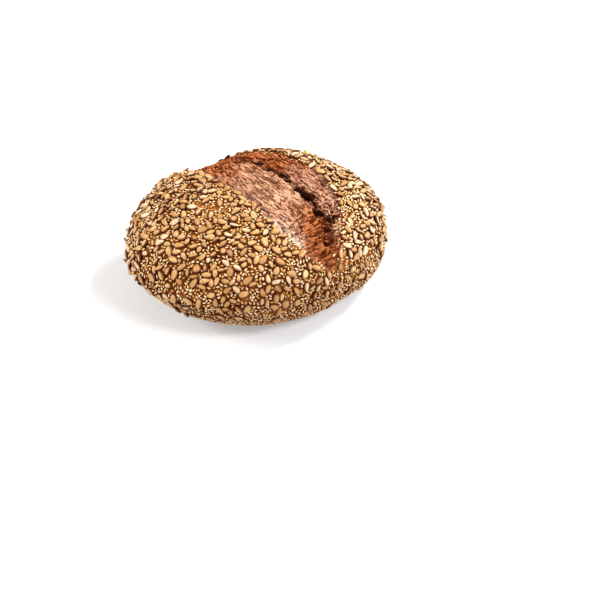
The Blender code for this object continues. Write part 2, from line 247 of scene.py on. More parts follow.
# The photograph's view
CAMERA_AZIMUTH = 53.3  # 0 looks along +Y, and 90 along -X
CAMERA_ELEVATION = 35.3
CAMERA_DISTANCE = 1.35
VIEW_WIDTH = 0.5325  # of what the picture shows at the loaf
LOAF_ACROSS, LOAF_DOWN = 0.0414, 0.0584  # from the loaf's middle to the picture's middle, right and down
LOAF_MIDDLE_HEIGHT = 0.045

# The studio. Each lamp: name, azimuth from the camera's, elevation, distance, size, power and colour
LAMPS = (
    ("front", 48.0, 44.0, 2.2, 0.6, 38.0, (1.0, 1.0, 0.99)),
    ("back", 122.0, 46.0, 2.2, 0.6, 56.0, (1.0, 1.0, 0.99)),
    ("side", -88.0, 30.0, 2.4, 0.9, 56.0, (1.0, 0.93, 0.82)),
)
LAMP_AIM_HEIGHT = 0.04
WHITE = (1.0, 1.0, 1.0, 1.0)
ROOM_LIGHT = 0.60
FLOOR_HALF_WIDTH = 6.0
FLOOR_COLOUR = (0.505, 0.515, 0.545, 1.0)
FLOOR_GLOW = 0.32  # with this, it is white outside the shadows

# Colours in linear light. Where there are two, the first is the darker one.
# Between the seeds the crust is darker than where it is bare: partly its own roasting, partly painted shade of
# the crowding seeds.
ROASTED_AND_SHADED_CRUST_COLOURS = (0.048, 0.009, 0.001), (0.120, 0.028, 0.0045)
CRUST_FLECKS = (0.25, 0.070, 0.014)
BARE_CRUST_COLOURS = (0.15, 0.042, 0.007), (0.34, 0.120, 0.030)
CRUST_FLOUR = (0.80, 0.56, 0.38)
TORN_COLOURS = (0.145, 0.026, 0.004), (0.25, 0.055, 0.010)
MIDDLE_COLOURS = (0.31, 0.125, 0.062), (0.44, 0.210, 0.118)
FAR_SIDE_COLOUR = (0.50, 0.225, 0.130)
LOW_END_COLOUR = (0.185, 0.040, 0.007)
# Lighter colours of the split's raised strands and pale streaks: partly the crumb's own streaks, partly painted
# highlight on the ridges.
TORN_PALE_STREAKS_AND_RIDGE_LIGHT = (0.50, 0.165, 0.060)
MIDDLE_PALE_STREAKS_AND_RIDGE_LIGHT = (0.68, 0.395, 0.250)
FAR_SIDE_PALE_STREAKS_AND_RIDGE_LIGHT = (0.58, 0.34, 0.225)
LOW_END_PALE_STREAKS_AND_RIDGE_LIGHT = (0.43, 0.135, 0.044)
# Darker streaks and hollows: partly the crumb's own colour, partly painted shade in the hollows.
TORN_DARK_STREAKS_AND_HOLLOW_SHADE = (0.052, 0.009, 0.002)
TORN_FLOUR = (0.92, 0.73, 0.57)
# Painted shade: the deep torn openings are painted near black.
TEAR_PAINTED_SHADE = (0.022, 0.005, 0.002)
KERNEL_COLOURS = (0.37, 0.162, 0.042), (0.66, 0.425, 0.168)
PALE_KERNEL = (0.78, 0.63, 0.41)
KERNEL_BLOTCHES = (0.36, 0.130, 0.022)
KERNEL_LINES = (0.32, 0.130, 0.030)
# Kernels darken towards their rim and underside: partly toasting, partly painted shade on the sides turned away
# from the light.
KERNEL_RIM_TOAST_AND_SHADE = (0.095, 0.020, 0.002)
SESAME_PALE_COLOURS = (0.64, 0.380, 0.170), (0.88, 0.66, 0.40)
SESAME_TOASTED_COLOURS = (0.44, 0.190, 0.036), (0.70, 0.41, 0.135)
# Sesame darken towards their rim and underside: partly toasting, partly painted shade.
SESAME_RIM_TOAST_AND_SHADE = (0.125, 0.029, 0.002)
SEED_ROUGHNESS = (0.38, 0.54)
SEED_SPECULAR = 0.34


def unit(vectors):
    return vectors / np.linalg.norm(vectors, axis=1)[:, None]


def ease(values, start, end):
    """0 before start and 1 after end, with a smooth change between."""
    t = np.clip((values - start) / (end - start), 0.0, 1.0)
    return t * t * (3.0 - 2.0 * t)


def hashed(cells, salt):
    """A repeatable number from -1 to 1 for each row of whole numbers."""
    mixed = (cells * np.array([73856093, 19349663, 83492791])).sum(axis=1) + salt * 9781
    mixed = (mixed ^ (mixed >> 13)) * 1274126177
    mixed = (mixed ^ (mixed >> 16)) & 0xFFFF
    return mixed / 32767.5 - 1.0


def noise(points, size, salt):
    """Smooth bumps of about the given size, from about -1 to 1."""
    scaled = points / size
    cells = np.floor(scaled).astype(np.int64)
    inside = scaled - cells
    fade = inside**3 * (inside * (inside * 6.0 - 15.0) + 10.0)
    total = np.zeros(len(points))
    for corner in itertools.product((0, 1), repeat=3):
        corner = np.array(corner)
        slope = np.stack([hashed(cells + corner, salt + axis) for axis in range(3)], axis=1)
        weight = np.where(corner, fade, 1.0 - fade).prod(axis=1)
        total += weight * (slope * (inside - corner)).sum(axis=1)
    return total * 1.5


def smooth_form(directions):
    """The loaf without its split: the point of its outside in each direction from the girth's middle."""
    x, y, z = directions.T
    half_width = np.where(y > 0, FAR_HALF_WIDTH, NEAR_HALF_WIDTH)
    half_height = np.where(z > 0, CROWN_HEIGHT - GIRTH_HEIGHT, BELLY_DEPTH)
    power = np.where(z > 0, DOME_POWER, BELLY_POWER)
    squareness = np.where(y > 0, FAR_PLAN_POWER, NEAR_PLAN_POWER)
    plan = (abs(x / HALF_LENGTH) ** squareness + abs(y / half_width) ** squareness) ** (1.0 / squareness)
    reach = (plan**power + abs(z / half_height) ** power) ** (-1.0 / power)
    lumps = 1.0 + LUMP_HEIGHT / HALF_LENGTH * noise(directions * HALF_LENGTH, LUMP_SIZE, 11)
    points = directions * (reach * lumps)[:, None]
    points[:, :2] += ease(-points[:, 2:], 0.0, GIRTH_HEIGHT) * BASE_SHIFT
    points[:, 2] += GIRTH_HEIGHT
    height = points[:, 2]
    rounded = (height + BASE_ROUNDING) ** 2 / (4.0 * BASE_ROUNDING)
    points[:, 2] = np.where(height > BASE_ROUNDING, height, np.where(height < -BASE_ROUNDING, 0.0, rounded))
    return points


def edge_reach(x, powers, sharpness):
    """How far an edge of the split has come out from the line through the tips, as a share of its reach."""
    along = np.clip(abs(x) / SPLIT_HALF_LENGTH, 0.0, 1.0)
    power = np.where(x < 0, *powers)
    return (1.0 - along**power) ** sharpness


def split_distances(points):
    """How far each point is inside the split's near edge and inside its far edge, in plan."""
    x, y, _ = points.T
    wave = EDGE_WAVE * noise(points, EDGE_WAVE_SIZE, 23) + EDGE_RAGS * noise(points, EDGE_RAGS_SIZE, 29)
    near = SPLIT_TIP_Y - SPLIT_NEAR_REACH * edge_reach(x, NEAR_EDGE_POWERS, NEAR_EDGE_SHARPNESS)
    far = SPLIT_TIP_Y + SPLIT_FAR_REACH * edge_reach(x, FAR_EDGE_POWERS, FAR_EDGE_SHARPNESS)
    return y - near + wave, far - y + wave


def inside_split(points):
    """How far each point is inside the nearer edge of the split."""
    return np.minimum(*split_distances(points))


def from_middle(points):
    """How far each point is from the girth's middle, which all directions start from."""
    return np.linalg.norm(points - [0.0, 0.0, GIRTH_HEIGHT], axis=1)


def on_top(points):
    """1 on the dome, where the split is, and 0 from the girth down."""
    return ease(points[:, 2], GIRTH_HEIGHT, GIRTH_HEIGHT + SPLIT_FADE_HEIGHT)


def ovals(points, rows):
    """The deepest of many long dents, each given as x, y, half length, half width, depth and turn."""
    depth = np.zeros(len(points))
    for x, y, half_length, half_width, deep, turn in rows:
        cos, sin = math.cos(math.radians(turn)), math.sin(math.radians(turn))
        dx, dy = points[:, 0] - x, points[:, 1] - y
        close = np.flatnonzero(np.hypot(dx, dy) < 2.0 * half_length)
        along = (dx[close] * cos + dy[close] * sin) / half_length
        across = (dy[close] * cos - dx[close] * sin) / half_width
        depth[close] = np.maximum(depth[close], deep * np.exp(-(along**4) - across**2))
    return depth


def split_relief(points):
    """The height of the surface above the smooth loaf, in and beside the split, but for what is torn."""
    from_near, from_far = split_distances(points)
    width = np.maximum(from_near + from_far, 1e-6)
    inside = np.minimum(from_near, from_far)
    share = np.clip(from_near / width, 0.0, 1.0)
    fullness = np.clip(width / (SPLIT_NEAR_REACH + SPLIT_FAR_REACH), 0.0, 1.0)

    swell = LOBE_SWELL * np.exp(-(((from_near + LOBE_SWELL_WIDTH) / LOBE_SWELL_WIDTH) ** 2))
    step = ease(from_near, 0.0, NEAR_STEP_WIDTH)
    groove = -NEAR_DROP * step * np.exp(-((np.maximum(from_near, 0.0) / GROOVE_WIDTH) ** 2))
    groove *= ease(points[:, 0], NEAR_STEP_START, NEAR_STEP_FULL)
    bloom = BLOOM_RISE * np.sin(np.pi * share**BLOOM_LEAN) * ease(inside, 0.0, NEAR_STEP_WIDTH)
    lip = FAR_LIP * np.where(from_far > 0, 0.0, np.exp(from_far / GROOVE_WIDTH))
    far_dip = -FAR_LIP * ease(from_far, 0.0, FAR_STEP_WIDTH)
    far_dip *= np.exp(-np.maximum(from_far, 0.0) / GROOVE_WIDTH)
    tip_dip = -np.where(points[:, 0] < 0, *TIP_DIPS) * ease(abs(points[:, 0]), TIP_DIP_START, TIP_DIP_END)
    tip_dip *= ease(inside, 0.0, GROOVE_WIDTH / 2.0)
    bulges = sum(
        height * np.exp(-((points[:, 0] - x) ** 2 + (points[:, 1] - y) ** 2) / radius**2)
        for x, y, radius, height in BULGES
    ) * ease(points[:, 2], 0.0, GIRTH_HEIGHT)
    beyond = points[:, 1] - SEAM_Y
    start, full, waning, end = FLAP_SPAN
    flap = FLAP_RISE * ease(points[:, 0], start, full) * (1.0 - ease(points[:, 0], waning, end))
    flap *= ease(beyond, -FLAP_EDGE, FLAP_EDGE) * np.exp(-np.maximum(beyond, 0.0) / FLAP_WIDTH)
    flap *= ease(inside, 0.0, NEAR_STEP_WIDTH)
    risen = fullness * (swell + groove + bloom + lip + far_dip)
    return bulges + on_top(points) * (risen + flap + tip_dip)


def slits_and_pits():
    """Many short tears, and small holes beyond the seam, in the form that ovals takes."""
    draw = np.random.default_rng(SLIT_SEED)
    spans = *SLIT_SPANS, SLIT_LENGTHS, SLIT_WIDTHS, SLIT_DEPTHS
    rows = np.stack([draw.uniform(low, high, SLIT_COUNT) for low, high in spans], axis=1)
    slits = np.column_stack([rows, draw.normal(0.0, SLIT_TURN, SLIT_COUNT)])
    spans = *PIT_SPANS, PIT_RADII, PIT_WIDTH_SHARES, PIT_DEPTHS, PIT_TURNS
    pits = np.stack([draw.uniform(low, high, PIT_COUNT) for low, high in spans], axis=1)
    pits[:, 3] *= pits[:, 2]
    return np.concatenate([slits, pits])


def torn_relief(points):
    """Tears and strands in the split: (height above split_relief, depth of the tears alone)."""
    inside = inside_split(points)
    shift = [WARP * noise(points, WARP_SIZE, salt) for salt in (51, 61)]
    shift = np.stack([*shift, np.zeros(len(points))], axis=1)
    warped, bent = points + shift, points + STRAND_WARP * shift
    seam = SEAM_DEPTH * np.exp(-(((warped[:, 1] - SEAM_Y) / SEAM_WIDTH) ** 2))
    strands = warped * np.array([1.0 / CRAG_STRETCH, 1.0, 1.0])
    crags = CRAG_HEIGHT * (noise(strands, CRAG_SIZE, 31) + 0.5 * noise(strands, CRAG_SIZE / 2.0, 37))
    tears = np.maximum(ovals(warped, FISSURES + SMALL_TEARS), ovals(warped, slits_and_pits()))
    crosswise = ease(points[:, 0], CROSSWISE_START, CROSSWISE_END)
    fine = np.zeros(len(points))
    for size, height, salt in zip(STRAND_SIZES, STRAND_HEIGHTS, (71, 81, 91)):
        lengthwise_strands = abs(noise(bent * [1.0 / STRAND_STRETCH, 1.0, 1.0], size, salt))
        crosswise_strands = abs(noise(bent * [1.0, 1.0 / STRAND_STRETCH, 1.0], size, salt + 5))
        strands = lengthwise_strands * (1.0 - crosswise) + crosswise_strands * crosswise
        fine += height * (0.5 - 2.0 * strands)
    coarse_fade = ease(inside, 0.0, 2.0 * NEAR_STEP_WIDTH) * on_top(points)
    fine_fade = ease(inside, *STRAND_FADE) * on_top(points)
    tears = tears * ease(inside, *TEAR_FADE) * on_top(points)
    return (crags - seam) * coarse_fade + fine * fine_fade - tears, tears


def tangents(normals):
    """Two directions along the surface at each of these normals, square to each other."""
    helper = np.where(abs(normals[:, 2:]) < 0.9, [[0.0, 0.0, 1.0]], [[1.0, 0.0, 0.0]])
    aside = unit(np.cross(helper, normals))
    return aside, np.cross(normals, aside)


def surface(directions):
    """The smooth form's points in these directions, its outward normals, and the split's relief on it."""
    directions = unit(directions)
    aside, above = tangents(directions)
    points = smooth_form(directions)
    slope_a = smooth_form(unit(directions + NORMAL_STEP * aside)) - points
    slope_b = smooth_form(unit(directions + NORMAL_STEP * above)) - points
    normals = unit(np.cross(slope_a, slope_b))
    return points, normals, split_relief(points) * (points[:, 2] > 0.0)


def flour_on(points, from_near):
    """How much flour lies at each point: most along the split's near edge, towards its +X end."""
    x = points[:, 0]
    width = np.where(from_near > 0.0, FLOUR_WIDTH, FLOUR_SPILL_WIDTH)
    flour = np.exp(-((from_near / width) ** 2)) * (FLOUR_LOW + (1.0 - FLOUR_LOW) * ease(x, *FLOUR_GROWS))
    flour *= 1.0 - FLOUR_LOSS * ease(x, *FLOUR_WANES)
    return flour * ease(x, *FLOUR_BEGINS) * on_top(points)


def split_colours(points, from_near):
    """How far each point of the split is in its pale middle, its far side and its low end."""
    x, y, _ = points.T
    x = x + COLOUR_WANDER * noise(points, COLOUR_WANDER_SIZE, 111)
    slanted = x + COLOUR_SLANT * y
    y = y + COLOUR_WANDER / 2.0 * noise(points, COLOUR_WANDER_SIZE / 2.0, 115)
    paler = ease(from_near, *MIDDLE_INSIDE) * (1.0 - ease(y, *MIDDLE_SIDE))
    paler *= ease(x, *MIDDLE_BEGINS) * (1.0 - ease(slanted, *MIDDLE_ENDS))
    far_side = ease(y, *FAR_SIDE) * ease(x, *FAR_SIDE_BEGINS)
    return {"paler": paler, "far_side": far_side, "low_end": ease(slanted, *LOW_END)}


def mesh_of(name, points, triangles):
    mesh = bpy.data.meshes.new(name)
    mesh.vertices.add(len(points))
    mesh.vertices.foreach_set("co", np.asarray(points, np.float32).ravel())
    mesh.loops.add(len(triangles) * 3)
    mesh.loops.foreach_set("vertex_index", np.asarray(triangles, np.int32).ravel())
    mesh.polygons.add(len(triangles))
    mesh.polygons.foreach_set("loop_start", np.arange(0, len(triangles) * 3, 3, dtype=np.int32))
    mesh.update(calc_edges=True)
    mesh.shade_smooth()
    return mesh


def set_attribute(mesh, name, values):
    values = np.asarray(values, np.float32)
    kind, field = ("FLOAT", "value") if values.ndim == 1 else ("FLOAT_VECTOR", "vector")
    mesh.attributes.new(name, kind, "POINT").data.foreach_set(field, values.ravel())


def add_piece(name, mesh, material, stands_for_loaf=False):
    piece = bpy.data.objects.new(name, mesh)
    bpy.context.scene.collection.objects.link(piece)
    mesh.materials.append(material)
    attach(piece, "root")
    if stands_for_loaf:
        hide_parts("loaf")


def refine(bm, wanted):
    """Splits each triangle whose middle satisfies wanted(points, inside) into four."""
    bm.faces.ensure_lookup_table()
    middles = unit(np.array([f.calc_center_median() for f in bm.faces]))
    points = smooth_form(middles)
    chosen = np.flatnonzero(wanted(points, inside_split(points)))
    bm.edges.index_update()
    edges = {edge for i in chosen for edge in bm.faces[int(i)].edges}
    edges = sorted(edges, key=lambda edge: edge.index)
    bmesh.ops.subdivide_edges(bm, edges=edges, cuts=1, use_grid_fill=True)
    bmesh.ops.triangulate(bm, faces=bm.faces)


def crust_arrays():
    """The loaf's fine outside: directions and triangles."""
    bm = bmesh.new()
    bmesh.ops.create_icosphere(bm, subdivisions=SPHERE_SUBDIVISIONS, radius=1.0)
    refine(bm, lambda points, inside: points[:, 2] > FLAT_BELOW)
    for nearest in (0.0, REFINED_FROM):
        refine(bm, lambda points, inside: (
            (inside > -TORN_MARGIN) & (points[:, 2] > GIRTH_HEIGHT) & (from_middle(points) > nearest)
        ))
    bm.verts.index_update()
    directions = unit(np.array([v.co for v in bm.verts]))
    triangles = np.array([[v.index for v in f.verts] for f in bm.faces])
    bm.free()
    return directions, triangles


def part_of(triangles, chosen):
    """The chosen triangles with only their own points: (indices of those points, triangles)."""
    used, renumbered = np.unique(triangles[chosen], return_inverse=True)
    return used, renumbered.reshape(-1, 3)


def add_crust():
    directions, triangles = crust_arrays()
    points, normals, relief = surface(directions)
    from_near, from_far = split_distances(points)
    inside = np.minimum(from_near, from_far)
    torn_height, tears = torn_relief(points)
    grain = CRUST_GRAIN * noise(points, CRUST_GRAIN_SIZE, 101) * ease(points[:, 2], 0.0, CRUST_GRAIN_FADE)
    height = relief + np.where(inside > 0, torn_height, torn_height + grain)
    lifted = points + normals * height[:, None] + CENTRE_SHIFT

    # Both pieces get the normals of the whole, so that no line shows between them.
    whole = mesh_of("whole", lifted, triangles)
    vertex_normals = np.empty(len(lifted) * 3, np.float32)
    whole.vertex_normals.foreach_get("vector", vertex_normals)
    vertex_normals = vertex_normals.reshape(-1, 3)
    bpy.data.meshes.remove(whole)

    high = points[triangles][:, :, 2].mean(axis=1) > GIRTH_HEIGHT
    is_torn = (inside[triangles].mean(axis=1) > 0.0) & high
    for name, chosen, material in (
        ("crust", ~is_torn, crust_material()),
        ("torn_split", is_torn, torn_material()),
    ):
        used, own = part_of(triangles, chosen)
        mesh = mesh_of(name, lifted[used], own)
        mesh.normals_split_custom_set_from_vertices(vertex_normals[used])
        set_attribute(mesh, "flour", flour_on(points[used], from_near[used]))
        if name == "crust":
            set_attribute(mesh, "bare", bareness(points[used]))
        else:
            for key, values in split_colours(points[used], from_near[used]).items():
                set_attribute(mesh, key, values)
            set_attribute(mesh, "torn_height", torn_height[used] * MM)
            set_attribute(mesh, "tears", tears[used] * MM)
        add_piece(name, mesh, material, stands_for_loaf=True)


def oval_reach(along, length, width):
    """How far an oval reaches from its middle, in a direction that runs along its length by this share."""
    along = np.minimum(abs(along), 1.0)
    return 0.5 / np.sqrt((along / length) ** 2 + (1.0 - along**2) / width**2)


def kernel_places():
    """Where the sunflower kernels lie, off the split: points, normals, axes, lengths, widths and tilts."""
    draw = np.random.default_rng(KERNEL_SEED)
    directions = unit(draw.normal(size=(KERNEL_TRIES, 3)))
    form, normals, relief = surface(directions)
    torn_height, _ = torn_relief(form)
    points = form + normals * (relief + torn_height)[:, None]
    lengths = draw.uniform(*KERNEL_LENGTHS, KERNEL_TRIES)
    widths = lengths * draw.uniform(*KERNEL_WIDTH_SHARES, KERNEL_TRIES)
    turns = draw.uniform(0.0, 2.0 * math.pi, KERNEL_TRIES)
    tilts = np.radians(draw.normal(0.0, KERNEL_TILT, (KERNEL_TRIES, 2)))
    luck = draw.uniform(0.0, 1.0, KERNEL_TRIES)

    # A patch of surface far from the middle is seen under a small angle, so it gets more tries.
    distance = from_middle(points)
    facing = (normals * directions).sum(axis=1)
    area = distance**2 / np.maximum(facing, LEAST_FACING)
    height_chance = ease(points[:, 2], KERNEL_LOW, KERNEL_HIGH)
    height_chance = KERNEL_LOW_CHANCE + (1.0 - KERNEL_LOW_CHANCE) * height_chance
    patchiness = PATCH_USUAL + PATCH_SWING * noise(points, PATCH_SIZE, 41)
    chance = area / area.max() * PLENTY * height_chance * patchiness
    in_split = (inside_split(points) > -KERNEL_CLEARANCE) & (points[:, 2] > GIRTH_HEIGHT)
    wanted = (luck < chance) & ~in_split & (points[:, 2] > KERNEL_LOW)

    aside, above = tangents(normals)
    axes = aside * np.cos(turns)[:, None] + above * np.sin(turns)[:, None]
    kept = []
    for i in np.flatnonzero(wanted):
        between = points[kept] - points[i]
        gaps = np.maximum(np.linalg.norm(between, axis=1), 1e-6)
        mine = oval_reach(between @ axes[i] / gaps, lengths[i], widths[i])
        theirs = oval_reach((between * axes[kept]).sum(axis=1) / gaps, lengths[kept], widths[kept])
        if (gaps > KERNEL_CLOSENESS * (mine + theirs)).all():
            kept.append(int(i))
    return [values[kept] for values in (points, normals, axes, lengths, widths, tilts)]


def bareness(points):
    """1 where the crust is bare of sesame, 0 where it is thickly strewn."""
    return ease(-noise(points, PATCH_SIZE, 41), BARE_START, BARE_END)


def laid(normals, axes, tilts):
    """Each seed's directions along, across and out of it: laid on the surface, then tilted a little."""
    along = unit(axes + np.tan(tilts[:, 1:]) * normals)
    across = unit(np.cross(normals, axes) + np.tan(tilts[:, :1]) * normals)
    across = unit(np.cross(np.cross(along, across), along))
    return along, across, np.cross(along, across)


def sesame_places(kernels):
    """Where the sesame seeds lie, in the same form: between the kernels, each with room of its own."""
    draw = np.random.default_rng(SESAME_SEED)
    directions = unit(draw.normal(size=(SESAME_TRIES, 3)))
    form, normals, relief = surface(directions)
    distance = from_middle(form)
    area = distance**2 / np.maximum((normals * directions).sum(axis=1), LEAST_FACING)
    spill = draw.exponential(SESAME_SPILL, SESAME_TRIES) - SESAME_LENGTHS[0] / 2.0
    in_split = (inside_split(form) > spill) & (form[:, 2] > GIRTH_HEIGHT)
    bare = bareness(form) > draw.uniform(*BARE_LUCK, SESAME_TRIES)
    wanted = (draw.uniform(size=SESAME_TRIES) < area / area.max() * PLENTY) & ~in_split & ~bare
    wanted &= form[:, 2] > SESAME_LOW
    torn_height, _ = torn_relief(form[wanted])
    points = form[wanted] + normals[wanted] * (relief[wanted] + torn_height)[:, None]
    normals = normals[wanted]
    count = len(points)
    lengths = draw.uniform(*SESAME_LENGTHS, count)
    widths = lengths * draw.uniform(*SESAME_WIDTH_SHARES, count)
    turns = draw.uniform(0.0, math.pi, (count, SESAME_TURNS, 1))
    tilts = np.radians(draw.normal(0.0, SESAME_TILT, (count, 2)))
    aside, above = tangents(normals)
    choices = aside[:, None] * np.cos(turns) + above[:, None] * np.sin(turns)

    # Everything placed so far, in a grid whose cells are as large as a kernel's reach
    cell = (KERNEL_LENGTHS[1] + SESAME_LENGTHS[1]) / 2.0
    placed = {}

    def put(point, axis, length, width):
        key = tuple(int(c // cell) for c in point)
        placed.setdefault(key, []).append((*point, *axis, length, width))

    share = SESAME_OVER_KERNEL / SESAME_CLOSENESS
    for point, axis, length, width in zip(kernels[0], kernels[2], kernels[3], kernels[4]):
        put(point.tolist(), axis.tolist(), share * length, share * width)

    kept, axes = [], []
    around = list(itertools.product((-1, 0, 1), repeat=3))
    for i in range(count):
        place = points[i].tolist()
        key = [int(c // cell) for c in place]
        near = []
        for shift in around:
            for other in placed.get(tuple(k + s for k, s in zip(key, shift)), ()):
                gap = math.dist(other[:3], place)
                if gap < (other[6] + lengths[i]) / 2.0:
                    near.append(other)
        if not near:
            choice = choices[i, 0]
        else:
            others = np.array(near)
            between = others[:, :3] - points[i]
            gaps = np.maximum(np.linalg.norm(between, axis=1), 1e-6)
            theirs = oval_reach((between * others[:, 3:6]).sum(axis=1) / gaps, others[:, 6], others[:, 7])
            mine = oval_reach(choices[i] @ between.T / gaps, lengths[i], widths[i])
            free = (gaps > SESAME_CLOSENESS * (mine + theirs)).all(axis=1)
            if not free.any():
                continue
            choice = choices[i, int(free.argmax())]
        put(place, choice.tolist(), lengths[i], widths[i])
        kept.append(i)
        axes.append(choice)
    return [points[kept], normals[kept], np.array(axes), lengths[kept], widths[kept], tilts[kept]]


def seed_shape(draw, sectors, rings, taper, bend, bumps):
    """A flat drop, 1 long along X and blunt at -X: points, triangles, and how far each point is off its top."""
    points, triangles = [(-0.5, 0.0, 0.0)], []
    for ring in range(1, rings):
        x = -0.5 * math.cos(math.pi * ring / rings)
        for sector in range(sectors):
            angle = 2.0 * math.pi * sector / sectors
            points.append((x, math.cos(angle), math.sin(angle)))
    points.append((0.5, 0.0, 0.0))
    points = np.array(points)
    x = points[:, 0]
    off_top = 1.0 - points[:, 2] * np.sqrt(np.maximum(1.0 - (2.0 * x) ** 4, 0.0))
    round_off = np.sqrt(np.maximum(1.0 - 4.0 * x * x, 0.0))
    plump = 1.0 - taper * (x + 0.5) ** TAPER_POWER
    width = 0.5 * round_off * plump / (round_off * plump).max()
    points[:, 1] *= width * (1.0 + WIDTH_SPREAD * draw.normal())
    points[:, 2] *= width
    points[:, 1] += bend * draw.normal() * (x * x - BEND_REST)
    points[:, 2] += 0.5 * bend * draw.normal() * (x * x - BEND_REST)
    swell = 1.0 + bumps * noise(points + draw.uniform(0.0, 50.0, 3), BUMP_SIZE, 141)
    points[:, 1:] *= swell[:, None]
    for sector in range(sectors):
        following = (sector + 1) % sectors
        triangles.append((0, 1 + following, 1 + sector))
        last = 1 + (rings - 2) * sectors
        triangles.append((len(points) - 1, last + sector, last + following))
        for ring in range(rings - 2):
            a, b = 1 + ring * sectors + sector, 1 + ring * sectors + following
            triangles += [(a, b, b + sectors), (a, b + sectors, a + sectors)]
    return points, np.array(triangles), off_top


def seeds_mesh(name, places, thickness, sunk_share, shapes, draw):
    """All the seeds of a kind as one mesh, with each one's tone and its own coordinates as attributes."""
    points, normals, axes, lengths, widths, tilts = places
    along, across, outward = laid(normals, axes, tilts)
    kinds = draw.integers(0, len(shapes), len(points))
    usual = LOW_TONE + (HIGH_TONE - LOW_TONE) * ease(points[:, 2], *TONE_HEIGHTS)
    # Painted light: seeds on the far lobe are paler.
    usual = usual + FAR_LOBE_PAINTED_LIGHT * ease(points[:, 1], *FAR_LOBE_SPAN)
    # Painted light: seeds at the near lobe's left end are paler, as if lit from the left.
    usual = usual + END_PAINTED_LIGHT * ease(points[:, :2] @ END_DIRECTION, *END_SPAN)
    tones = np.clip(draw.normal(usual, TONE_SPREAD), 0.0, 1.0)
    thick = thickness * draw.uniform(*THICKNESS_SPREAD, len(points))
    all_points, all_triangles, all_tones, all_locals, all_rim_shading = [], [], [], [], []
    start = 0
    for kind, (shape, triangles, off_top) in enumerate(shapes):
        own = np.flatnonzero(kinds == kind)
        middle = points[own] + normals[own] * (sunk_share * thickness)
        placed = middle[:, None] + (
            shape[None, :, 0:1] * (along[own] * lengths[own][:, None])[:, None]
            + shape[None, :, 1:2] * (across[own] * widths[own][:, None])[:, None]
            + shape[None, :, 2:3] * (outward[own] * thick[own][:, None])[:, None]
        )
        offsets = start + np.arange(len(own)) * len(shape)
        all_points.append(placed.reshape(-1, 3))
        all_triangles.append((triangles[None] + offsets[:, None, None]).reshape(-1, 3))
        all_tones.append(np.repeat(tones[own], len(shape)))
        shift = draw.uniform(0.0, 90.0, (len(own), 1, 3))
        all_locals.append((shape[None] + shift).reshape(-1, 3))
        all_rim_shading.append(np.tile(off_top, len(own)))
        start += len(own) * len(shape)
    mesh = mesh_of(name, np.concatenate(all_points) + CENTRE_SHIFT, np.concatenate(all_triangles))
    set_attribute(mesh, "tone", np.concatenate(all_tones))
    set_attribute(mesh, "own_place", np.concatenate(all_locals))
    set_attribute(mesh, "off_top", np.concatenate(all_rim_shading))
    return mesh


def add_seeds():
    draw = np.random.default_rng(LOOKS_SEED)
    kernels = kernel_places()
    shapes = [
        seed_shape(draw, KERNEL_SECTORS, KERNEL_RINGS, taper=0.42, bend=0.12, bumps=0.20)
        for _ in range(KERNEL_SHAPES)
    ]
    mesh = seeds_mesh("sunflower_kernels", kernels, KERNEL_THICKNESS, KERNEL_SUNK_SHARE, shapes, draw)
    add_piece("sunflower_kernels", mesh, kernel_material())

    sesame = sesame_places(kernels)
    shapes = [
        seed_shape(draw, SESAME_SECTORS, SESAME_RINGS, taper=0.40, bend=0.06, bumps=0.06)
        for _ in range(SESAME_SHAPES)
    ]
    pale = draw.uniform(size=len(sesame[0])) < PALE_SHARE
    for name, chosen, colours in (
        ("sesame_pale", pale, SESAME_PALE_COLOURS),
        ("sesame_toasted", ~pale, SESAME_TOASTED_COLOURS),
    ):
        places = [values[chosen] for values in sesame]
        mesh = seeds_mesh(name, places, SESAME_THICKNESS, SESAME_SUNK_SHARE, shapes, draw)
        add_piece(name, mesh, sesame_material(name, *colours))


